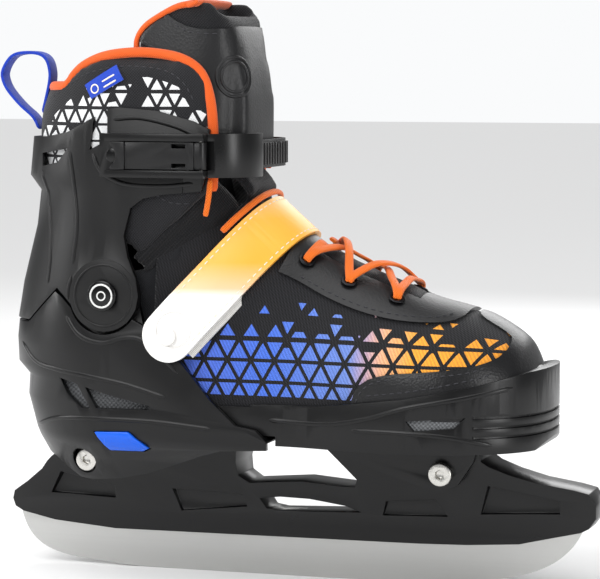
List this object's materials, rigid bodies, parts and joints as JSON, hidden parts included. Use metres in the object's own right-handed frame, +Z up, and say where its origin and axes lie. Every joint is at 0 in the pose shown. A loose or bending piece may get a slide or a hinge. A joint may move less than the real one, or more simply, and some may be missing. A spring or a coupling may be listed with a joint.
{
  "type": "ice skate",
  "caption": "Size-adjustable ice skate with a steel blade, a hinged cuff with a ratchet buckle, an instep strap, laces and a sliding toe shell",
  "frame": {"origin": "middle of the blade's running edge, on the ice", "axes": "+X towards the toe, +Y towards the inner side of the foot, +Z up"},
  "size_m": [0.3009, 0.1036, 0.277],
  "materials": {
    "blade_steel": "brushed stainless steel",
    "holder_plastic": "matte black nylon",
    "bolt_steel": "nickel-plated steel",
    "shell_plastic": "satin black polypropylene",
    "rivet_plastic": "glossy black cap with a pale ring",
    "lining_fabric": "blue and black printed textile over foam",
    "insole_foam": "EVA foam with a cloth face",
    "strap_fabric": "yellow to pale orange padded strap",
    "under_strap_fabric": "pale hook-and-loop tape",
    "tongue_fabric": "black padded mesh",
    "lace_cord": "orange polyester lace",
    "mesh_fabric": "black mesh",
    "printed_fabric": "textile printed with a lattice of triangles, blue to yellow",
    "eyestay_leather": "black synthetic leather",
    "eyelet_metal": "black enamelled eyelets",
    "toe_cap_leather": "black synthetic leather",
    "collar_fabric": "black padded textile with pale triangles",
    "piping_fabric": "orange piping",
    "buckle_plastic": "satin black moulded plastic",
    "ladder_plastic": "black toothed strap",
    "webbing_fabric": "blue webbing",
    "label_fabric": "blue woven label",
    "button_plastic": "glossy blue plastic"
  },
  "bodies": {
    "chassis": {"blade": "blade_steel", "blade_holder": "holder_plastic", "rear_bolt": "bolt_steel", "front_bolt": "bolt_steel", "rear_sleeve_nut": "bolt_steel", "front_sleeve_nut": "bolt_steel", "heel_shell": "shell_plastic", "pivot_rivet_outer": "rivet_plastic", "pivot_rivet_inner": "rivet_plastic", "inner_boot": "lining_fabric", "footbed": "insole_foam", "instep_strap": "strap_fabric", "under_strap": "under_strap_fabric", "strap_rivet_outer": "bolt_steel", "strap_rivet_inner": "bolt_steel", "instep_tongue": "tongue_fabric", "lace_loop": "lace_cord"},
    "toe_box": {"toe_shell": "shell_plastic", "toe_vent_outer": "mesh_fabric", "toe_vent_inner": "mesh_fabric", "toe_upper": "printed_fabric", "tongue_front": "tongue_fabric", "eyestay_outer": "eyestay_leather", "eyestay_inner": "eyestay_leather", "eyelets": "eyelet_metal", "toe_lace": "lace_cord", "toe_cap": "toe_cap_leather", "toe_insole": "insole_foam", "size_comb": "shell_plastic"},
    "cuff": {"cuff_shell": "shell_plastic", "collar": "collar_fabric", "tongue": "tongue_fabric", "collar_piping": "piping_fabric", "buckle_frame": "buckle_plastic", "lever_pin": "bolt_steel", "buckle_rivet": "bolt_steel", "ladder_strap": "ladder_plastic", "ladder_rivet": "bolt_steel", "pull_loop": "webbing_fabric", "label_tab": "label_fabric", "lace_end": "lace_cord"},
    "lever": {"buckle_lever": "buckle_plastic"},
    "size_button": {"size_button": "button_plastic", "latch_tooth": "button_plastic"}
  },
  "joints": [
    {"name": "toe_slide", "type": "slide", "parent": "chassis", "child": "toe_box", "axis": [1, 0, 0], "range_m": [0, 0.02]},
    {"name": "cuff_hinge", "type": "hinge", "parent": "chassis", "child": "cuff", "pos_m": [-0.084, 0, 0.1375], "axis": [0, 1, 0], "range_deg": [0, 8]},
    {"name": "buckle_hinge", "type": "hinge", "parent": "cuff", "child": "lever", "pos_m": [-0.034, -0.0464, 0.20425], "axis": [0, 0, 1], "range_deg": [0, 80]},
    {"name": "button_press", "type": "slide", "parent": "chassis", "child": "size_button", "axis": [0, 1, 0], "range_m": [0, 0.003], "stiffness_N_per_m": 400}
  ]
}
